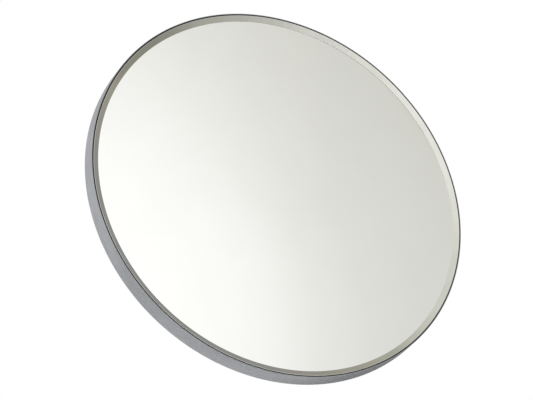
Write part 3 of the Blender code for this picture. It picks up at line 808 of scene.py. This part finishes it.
def make_pan():
    """The pressed tray: rounded folds, a land for the screws, a step, a ring swage and drains."""
    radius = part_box("back_pan")[1].x
    top = -10.3 * MM
    swage = PAN_REAR + 3 * MM
    folds = [(276, PAN_LAND, 2.6), (268, PAN_REAR, 2.6), (200, PAN_REAR, 3.4), (194, swage, 2.2),
             (170, swage, 2.2), (164, PAN_REAR, 3.4)]
    folds = [(at * MM, height, bend * MM) for at, height, bend in folds]
    inside = [(at, height + PAN_SHEET, bend) for at, height, bend in reversed(folds)]
    outside = [(PAN_MOUTH_RADIUS, top, 0.3 * MM), (radius, top, 0.9 * MM), (radius, PAN_LAND, 2.2 * MM)]
    outside += folds + [(0, PAN_REAR)]
    inner_wall = radius - PAN_SHEET
    inside = [(0, PAN_REAR + PAN_SHEET)] + inside + [
        (inner_wall, PAN_LAND + PAN_SHEET, 1.2 * MM), (inner_wall, top - PAN_SHEET, 0.3 * MM),
        (PAN_MOUTH_RADIUS, top - PAN_SHEET, 0.3 * MM)]
    pan = turned(filleted(inside + outside), 240, HEAD_PLACE)
    holes = ((corners(BOLT_PLACE), SMALL_HOLE),
             (arc((0, 0), DRAIN_CIRCLE, -97.5, -82.5, 3), DRAIN_RADIUS),
             (RIM_SCREW_PLACES, RIM_SCREW_RADIUS + GAP))
    for places, size in holes:
        drill(pan, places, size, PAN_REAR - MM, PAN_LAND + 2 * MM, HEAD_PLACE)
    show(pan, "rear_pan", "grey_painted_steel", "mirror_head", "back_pan")


def make_rim_screws():
    """Domed self-tapping screws with a cross recess."""
    radius, height, length = 4 * MM, 2.6 * MM, 8 * MM
    seat = -RIM_DEPTH - GAP
    top = seat - height
    crown = [(radius, seat), (radius, seat - 0.9 * MM), (3.6 * MM, seat - 1.7 * MM),
             (2.7 * MM, seat - 2.3 * MM), (1.4 * MM, top + 0.06 * MM), (0, top)]
    profile = [(0, seat + length), (0.5 * MM, seat + length),
               (RIM_SCREW_RADIUS, seat + length - 2 * MM), (RIM_SCREW_RADIUS, seat)] + crown
    screw = turned(profile, 40)
    for turn in (0, 90):
        wing = prism([(-1.9 * MM, 1.5 * MM), (1.9 * MM, 1.5 * MM), (0.8 * MM, -0.3 * MM),
                      (-0.8 * MM, -0.3 * MM)], -0.42 * MM, 0.42 * MM)
        moved(wing, raised(top + 1.3 * MM) @ spun(turn, "Z") @ spun(-90, "X"))
        combine(screw, wing)
    soften(screw, 0.12 * MM, 2, 50)
    show_each(screw, RIM_SCREW_PLACES, "rim_fixing", "rim_screw", "mirror_head", HEAD_PLACE, 37)


def lug_outline(foot, shoulder, reach, radius, corner):
    """A lug that stands on the line y = 0, half as wide as foot, and narrows to a round end."""
    edge = Vector((foot, shoulder))
    away = edge - Vector((0, reach))
    touch = math.degrees(math.atan2(away.y, away.x) + math.acos(radius / away.length))
    outline = [(-foot, 0), (foot, 0), (foot, shoulder, corner)]
    outline += arc((0, reach), radius, touch, 180 - touch, 40) + [(-foot, shoulder, corner)]
    return filleted(outline, 10)


def weld_bead(length, leg, ripple):
    """A fillet weld in the corner between two plates: it runs along local X, legs up Y and Z."""
    root = -0.4 * MM
    stride = 0.35                    # in millimetres
    shape = bmesh.new()
    count = int(length / (stride * MM))
    rings = []
    for step in range(count + 1):
        at = length * (step / count - 0.5)
        swell = 1 - 0.06 * abs(math.sin(math.pi * at / ripple))
        taper = min(1.0, 0.25 + min(step, count - step) * stride * MM / (1.6 * leg)) ** 0.5
        size = leg * swell * taper
        loop = [(root, root), (size, root)]
        for angle in range(6, 85, 13):
            hollow = 0.86 + 0.14 * abs(math.cos(math.radians(2 * angle)))
            loop.append((size * math.cos(math.radians(angle)) * hollow,
                         size * math.sin(math.radians(angle)) * hollow))
        loop.append((root, size))
        last = len(loop) - 1
        slant = [0.3 * ripple * math.sin(math.pi * index / last) for index in range(last + 1)]
        rings.append([shape.verts.new((at + lean * taper, y, z)) for (y, z), lean in zip(loop, slant)])
    for before, after in zip(rings, rings[1:]):
        for index in range(len(before)):
            follow = (index + 1) % len(before)
            shape.faces.new((before[index], before[follow], after[follow], after[index]))
    shape.faces.new(rings[0])
    shape.faces.new(rings[-1])
    return to_object(shape)


def make_head_clevis():
    """A drilled base plate with two lugs, welded on along both of their sides."""
    base = rounded_rectangle((0, 0), face_size("head_bracket"), 8 * MM)
    clevis = prism(base, CLEVIS_LOW, CLEVIS_HIGH)
    drill(clevis, corners(BOLT_PLACE), SMALL_HOLE, CLEVIS_LOW - MM, CLEVIS_HIGH + MM)
    soften(clevis, 0.5 * MM)
    foot = CLEVIS_LOW + 0.5 * MM
    reach = foot + TILT_AXIS.y - FRONT_Y
    outline = lug_outline(CLEVIS_FOOT, 8 * MM, reach, LUG_RADIUS, 6 * MM)
    stand = raised(foot) @ spun(180, "X") @ (spun(90, "Z") @ spun(90, "X"))
    bead = weld_bead(2 * CLEVIS_FOOT - 2 * MM, 3.6 * MM, 1.7 * MM)
    for low_x, high_x in ((LUG_INNER, LUG_OUTER), (-LUG_OUTER, -LUG_INNER)):
        lug = prism(outline, low_x, high_x)
        drill(lug, [(0, reach)], JOINT_HOLE, low_x - MM, high_x + MM)
        soften(lug, 0.5 * MM)
        combine(clevis, moved(lug, stand), "UNION")
        for side_x, mirror in ((high_x, 1), (low_x, -1)):
            rows = Matrix(((0, mirror, 0, side_x), (1, 0, 0, 0), (0, 0, -1, CLEVIS_LOW), (0, 0, 0, 1)))
            combine(clevis, copied(bead, rows), "UNION")
    discard(bead)
    moved(clevis, HEAD_PLACE)
    show(clevis, "head_clevis", "galvanised_steel", "mirror_head", "head_bracket")


# ---------------------------------------------------------------- bolts, nuts and washers

THREAD_SLACK = 0.02 * MM             # a bolt's thread is this much under its nominal radius
NUT_SLACK = 0.05 * MM                # a nut's bore is this much over it
SMALL_PITCH = 1.25 * MM
SMALL_WASHER = 1.6 * MM


def threaded(radius, pitch, low, high, steps=36):
    """A threaded rod along local Z with a chamfered end at its low side."""
    per_turn = 8
    count = math.ceil((high - low) / pitch * per_turn)
    depth = 0.58 * pitch
    shape = bmesh.new()
    rings = []
    for level in range(count + 1):
        height = low + (high - low) * level / count
        chamfer = radius - 0.75 * pitch + (height - low)
        ring = []
        for side in range(steps):
            angle = 2 * math.pi * side / steps
            phase = (height / pitch - side / steps) % 1
            groove = min(1.0, max(0.0, 1.35 * (1 - abs(2 * phase - 1)) - 0.12))
            reach = min(radius - depth * groove, chamfer)
            ring.append(shape.verts.new((reach * math.cos(angle), reach * math.sin(angle), height)))
        rings.append(ring)
    for before, after in zip(rings, rings[1:]):
        for side in range(steps):
            follow = (side + 1) % steps
            shape.faces.new((before[side], before[follow], after[follow], after[side]))
    shape.faces.new(rings[0])
    shape.faces.new(rings[-1])
    return to_object(shape)


def hexagon(flats, low, high, low_chamfer=True):
    """A hexagonal block whose corners are turned off at 30 degrees at its ends."""
    corner = flats / 2 / math.cos(math.radians(30))
    face = 0.475 * flats
    outer = corner + MM
    drop = (outer - face) * math.tan(math.radians(30))
    block = prism(arc((0, 0), corner, 0, 300, 5), low, high)
    under = [(0, low - MM), (outer, low - MM)]
    if low_chamfer:
        under = [(0, low), (face, low), (outer, low + drop)]
    over = [(outer, high - drop), (face, high), (0, high)]
    combine(block, turned(under + over, 96), "INTERSECT")
    return block


def nut(flats, height, radius):
    """A hexagon nut from 0 up to its height, with countersunk mouths."""
    block = hexagon(flats, 0, height)
    mouth = 0.7 * MM
    bore = turned([(0, -MM), (radius + mouth + MM, -MM), (radius + mouth, 0), (radius, mouth),
                   (radius, height - mouth), (radius + mouth, height),
                   (radius + mouth + MM, height + MM), (0, height + MM)], 48)
    combine(block, bore)
    return block


def washer(inner, outer, low, high, edge=0.25 * MM):
    """A flat ring with rounded edges."""
    profile = [(inner, high, edge), (outer, high, edge), (outer, low, edge), (inner, low, edge)]
    return turned(filleted(profile, 3), 72)


def show_each(shape, places, kind, node, body, placing, spin=23):
    """One zinc-plated copy of a small piece at each place, each standing for its own CAD node."""
    for index, (x, y) in enumerate(places):
        piece = copied(shape, placing @ Matrix.Translation((x, y, 0)) @ spun(spin * index, "Z"))
        show(piece, f"{kind}_{index + 1}", "zinc_plated_steel", body, f"{node}_{index + 1}")
    discard(shape)


def make_head_fasteners():
    """Carriage bolts through stiffener, pan and clevis, with washers and nuts on the outside."""
    top = PAN_REAR + PAN_SHEET + 2 * GAP + 4 * MM
    washer_high = CLEVIS_LOW - GAP
    washer_low = washer_high - SMALL_WASHER
    nut_high = washer_low - GAP
    tip = nut_high - SMALL_NUT - 3 * MM
    bolt = threaded(SMALL_RADIUS - THREAD_SLACK, SMALL_PITCH, tip, nut_high)
    shank = cylinder(SMALL_RADIUS - 0.4 * MM, nut_high - MM, top + MM, 36)
    head = [(0, top + 5 * MM), (4.6 * MM, top + 4.4 * MM), (7.4 * MM, top + 2.6 * MM),
            (8.4 * MM, top), (0, top)]
    combine(bolt, shank, "UNION")
    combine(bolt, turned(head, 48), "UNION")
    plain = washer(SMALL_HOLE, 8 * MM, washer_low, washer_high)
    block = moved(nut(SMALL_FLATS, SMALL_NUT, SMALL_RADIUS + NUT_SLACK), raised(nut_high - SMALL_NUT))
    parts = ((bolt, "carriage_bolt", "head_bolt"), (plain, "plain_washer", "head_washer"),
             (block, "hexagon_nut", "head_nut"))
    for piece, kind, node in parts:
        show_each(piece, corners(BOLT_PLACE), kind, node, "mirror_head", HEAD_PLACE)


JOINT_RADIUS = 6 * MM                                 # M12
JOINT_PITCH = 1.75 * MM
JOINT_FLATS = 19 * MM
JOINT_HEAD = 7.5 * MM
JOINT_NUT = 10 * MM
JOINT_WASHER = 2.5 * MM
KNUCKLE_HALF = 20 * MM


def make_joint_set(joint, high_end, low_end, body, placing):
    """The clamping bolt of a joint: its head is on the placing's +Z side, its nut on -Z."""
    washer_low = LUG_OUTER + GAP
    head_low = washer_low + JOINT_WASHER + GAP
    lock_high = -head_low
    nut_high = lock_high - JOINT_WASHER - GAP
    nut_low = nut_high - JOINT_NUT
    collar = 0.5 * MM
    bolt = hexagon(JOINT_FLATS, head_low + collar, head_low + JOINT_HEAD, low_chamfer=False)
    rod = (nut_low - 3 * MM, nut_high + MM)
    combine(bolt, cylinder(0.47 * JOINT_FLATS, head_low, head_low + MM, 72), "UNION")
    combine(bolt, cylinder(JOINT_RADIUS - 0.6 * MM, nut_high, head_low + MM, 48), "UNION")
    combine(bolt, threaded(JOINT_RADIUS - THREAD_SLACK, JOINT_PITCH, *rod, 48), "UNION")
    block = moved(nut(JOINT_FLATS, JOINT_NUT, JOINT_RADIUS + NUT_SLACK), raised(nut_low) @ spun(11, "Z"))
    lock = washer(JOINT_HOLE, 10.5 * MM, lock_high - JOINT_WASHER, lock_high)
    slit = prism([(3 * MM, -0.6 * MM), (14 * MM, -0.6 * MM), (14 * MM, 0.6 * MM), (3 * MM, 0.6 * MM)],
                 -4 * MM, 4 * MM)
    combine(lock, moved(slit, raised(lock_high - JOINT_WASHER / 2) @ spun(28, "X")))
    flipped = spun(180, "X")
    plain = washer(JOINT_HOLE, 12 * MM, washer_low, washer_low + JOINT_WASHER, 0.35 * MM)
    disc_low = KNUCKLE_HALF + GAP
    disc = washer(JOINT_HOLE, LUG_RADIUS - 2 * MM, disc_low, disc_low + 1.5 * MM)
    zinc, nylon = "zinc_plated_steel", "black_nylon"
    parts = [(bolt, "clamp_bolt", "bolt", zinc), (block, "clamp_nut", "nut", zinc),
             (lock, "spring_washer", "lock_washer", zinc),
             (copied(plain, flipped), f"flat_washer_{low_end}", f"washer_{low_end}", zinc),
             (copied(disc, flipped), f"friction_disc_{low_end}", f"friction_washer_{low_end}", nylon),
             (plain, f"flat_washer_{high_end}", f"washer_{high_end}", zinc),
             (disc, f"friction_disc_{high_end}", f"friction_washer_{high_end}", nylon)]
    for piece, name, node, look in parts:
        show(moved(piece, placing), f"{joint}_{name}", look, body, f"{joint}_{node}")


# ---------------------------------------------------------------- swivel arm and wall side

PLATE_THICKNESS = -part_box("wall_plate")[0].y
WEB_BACK = PLATE_THICKNESS + GAP
WEB_FRONT = WEB_BACK + 5 * MM
BASE_PLACE = (20 * MM, 12 * MM)
PLATE_HOLE_PLACE = (40 * MM, 62 * MM)
PLATE_HOLE_RADIUS = 5.5 * MM
STRAP_SLOT_PLACE = (51 * MM, 32 * MM)
STRAP_SLOT_SIZE = (6 * MM, 24 * MM)
BARREL_RADIUS = 16 * MM
BAR_RADIUS = 13 * MM
BUSH_HOLE = 9.3 * MM


def make_arm():
    """The casting: two barrels and a bar, run together with soft fillets, then machined."""
    back = Matrix.Translation(SWIVEL_AXIS)
    front = Matrix.Translation(TILT_AXIS) @ AXIS_TO_X
    over = KNUCKLE_HALF + 4 * MM
    arm = cylinder(BARREL_RADIUS, -over, over, 96, back)
    combine(arm, cylinder(BARREL_RADIUS, -over, over, 96, front), "UNION")
    combine(arm, cylinder(BAR_RADIUS, 0, SWIVEL_AXIS.y - TILT_AXIS.y, 96, back @ FACE_FORWARD), "UNION")
    remesh = arm.modifiers.new("remesh", "REMESH")
    remesh.mode = "VOXEL"
    remesh.voxel_size = 0.75 * MM
    smooth = arm.modifiers.new("smooth", "SMOOTH")
    smooth.factor = 0.5
    smooth.iterations = 22
    apply_modifiers(arm)
    seam_half = 0.8 * MM
    seam_rise = 0.28                 # in millimetres
    outward = [vertex.normal.copy() for vertex in arm.data.vertices]
    for vertex, normal in zip(arm.data.vertices, outward):
        vertex.co += normal * seam_rise * MM * max(0.0, 1 - (vertex.co.x / seam_half) ** 2)
    for place in (back, front):
        for side in (0, 180):
            turn = place @ spun(side, "X")
            end = cylinder(30 * MM, KNUCKLE_HALF, KNUCKLE_HALF + 12 * MM, 48, turn)
            combine(arm, end, solver="MANIFOLD")
        combine(arm, cylinder(BUSH_HOLE, -over, over, 64, place), solver="MANIFOLD")
    show(arm, "cast_arm", "cast_aluminium", "arm", "swivel_arm")


def make_folded_bracket():
    """The folded U: a web on the wall plate and two level lugs, with rounded bends and edges."""
    tip = -SWIVEL_AXIS.y + LUG_RADIUS
    outline = [(tip, LUG_OUTER), (WEB_BACK, LUG_OUTER, 6 * MM), (WEB_BACK, -LUG_OUTER, 6 * MM),
               (tip, -LUG_OUTER), (tip, -LUG_INNER), (WEB_FRONT, -LUG_INNER, 1.4 * MM),
               (WEB_FRONT, LUG_INNER, 1.4 * MM), (tip, LUG_INNER)]
    low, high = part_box("swivel_bracket")
    bracket = prism(filleted(outline, 10), low.x, high.x)
    moved(bracket, spun(-90, "Z") @ spun(90, "X"))
    plan = prism(lug_outline(high.x, 14 * MM, -SWIVEL_AXIS.y, LUG_RADIUS, 7 * MM),
                 -LUG_OUTER - MM, LUG_OUTER + MM, spun(180, "X"))
    combine(bracket, plan, "INTERSECT")
    drill(bracket, [(0, SWIVEL_AXIS.y)], JOINT_HOLE, -LUG_OUTER - MM, LUG_OUTER + MM)
    drill(bracket, corners(BASE_PLACE), SMALL_HOLE, 0, WEB_FRONT + MM, FACE_FORWARD)
    soften(bracket, 0.5 * MM)
    show(bracket, "folded_bracket", "galvanised_steel", "wall_bracket", "swivel_bracket")


def make_fixing_plate():
    """The wall plate, with screw holes, strap slots and countersinks, its edges broken."""
    plate = prism(rounded_rectangle((0, 0), face_size("wall_plate"), 10 * MM), 0, PLATE_THICKNESS)
    ends = (-MM, PLATE_THICKNESS + MM)
    drill(plate, corners(PLATE_HOLE_PLACE), PLATE_HOLE_RADIUS, *ends)
    slots = [prism(rounded_rectangle(place, STRAP_SLOT_SIZE, 2 * MM), *ends)
             for place in corners(STRAP_SLOT_PLACE)]
    combine(plate, joined(slots))
    soften(plate, 0.5 * MM)
    drill(plate, corners(BASE_PLACE), SMALL_HOLE, *ends)
    sinks = [turned([(0, 4.2 * MM), (4.1 * MM, 4.2 * MM), (9.3 * MM, -MM), (0, -MM)], 64,
                    Matrix.Translation((x, y, 0))) for x, y in corners(BASE_PLACE)]
    combine(plate, joined(sinks))
    moved(plate, FACE_FORWARD)
    show(plate, "fixing_plate", "galvanised_steel", "wall_bracket", "wall_plate")


def make_base_fasteners():
    """Countersunk socket screws from the wall side, and their nuts inside the bracket."""
    nut_low = WEB_FRONT + GAP
    tip = nut_low + SMALL_NUT + 2 * MM
    head = [(0, 4.4 * MM), (SMALL_RADIUS, 4.3 * MM), (7.6 * MM, 0.6 * MM), (7.6 * MM, 0.42 * MM),
            (7.45 * MM, 0.3 * MM), (0, 0.3 * MM)]
    screw = turned(head, 72)
    combine(screw, cylinder(SMALL_RADIUS - 0.3 * MM, 4 * MM, nut_low + MM, 36), "UNION")
    rod = moved(threaded(SMALL_RADIUS - THREAD_SLACK, SMALL_PITCH, -tip, -nut_low),
                spun(180, "X"))
    combine(screw, rod, "UNION")
    corner = 2.5 * MM / math.cos(math.radians(30))
    combine(screw, prism(arc((0, 0), corner, 0, 300, 5), -MM, 3 * MM))
    soften(screw, 0.15 * MM, 2, 55)
    show_each(screw, corners(BASE_PLACE), "socket_screw", "base_screw", "wall_bracket", FACE_FORWARD)
    block = moved(nut(SMALL_FLATS, SMALL_NUT, SMALL_RADIUS + NUT_SLACK), raised(nut_low))
    show_each(block, corners(BASE_PLACE), "bracket_nut", "base_nut", "wall_bracket", FACE_FORWARD)


# ---------------------------------------------------------------- assembly

for node, node_look in (("edge_seal", "grey_foam"), ("stiffener_plate", "galvanised_steel"),
                        ("swivel_bush", "black_nylon"), ("tilt_bush", "black_nylon")):
    NODES[node].data.materials.clear()
    NODES[node].data.materials.append(LOOKS[node_look])

make_studio()
make_rim_hoop()
make_gasket()
make_bezel()
make_mirror_sheet()
make_pan()
make_rim_screws()
make_head_clevis()
make_head_fasteners()
make_joint_set("tilt", "right", "left", "mirror_head", Matrix.Translation(TILT_AXIS) @ AXIS_TO_X)
make_joint_set("swivel", "top", "bottom", "wall_bracket", Matrix.Translation(SWIVEL_AXIS))
make_arm()
make_folded_bracket()
make_fixing_plate()
make_base_fasteners()
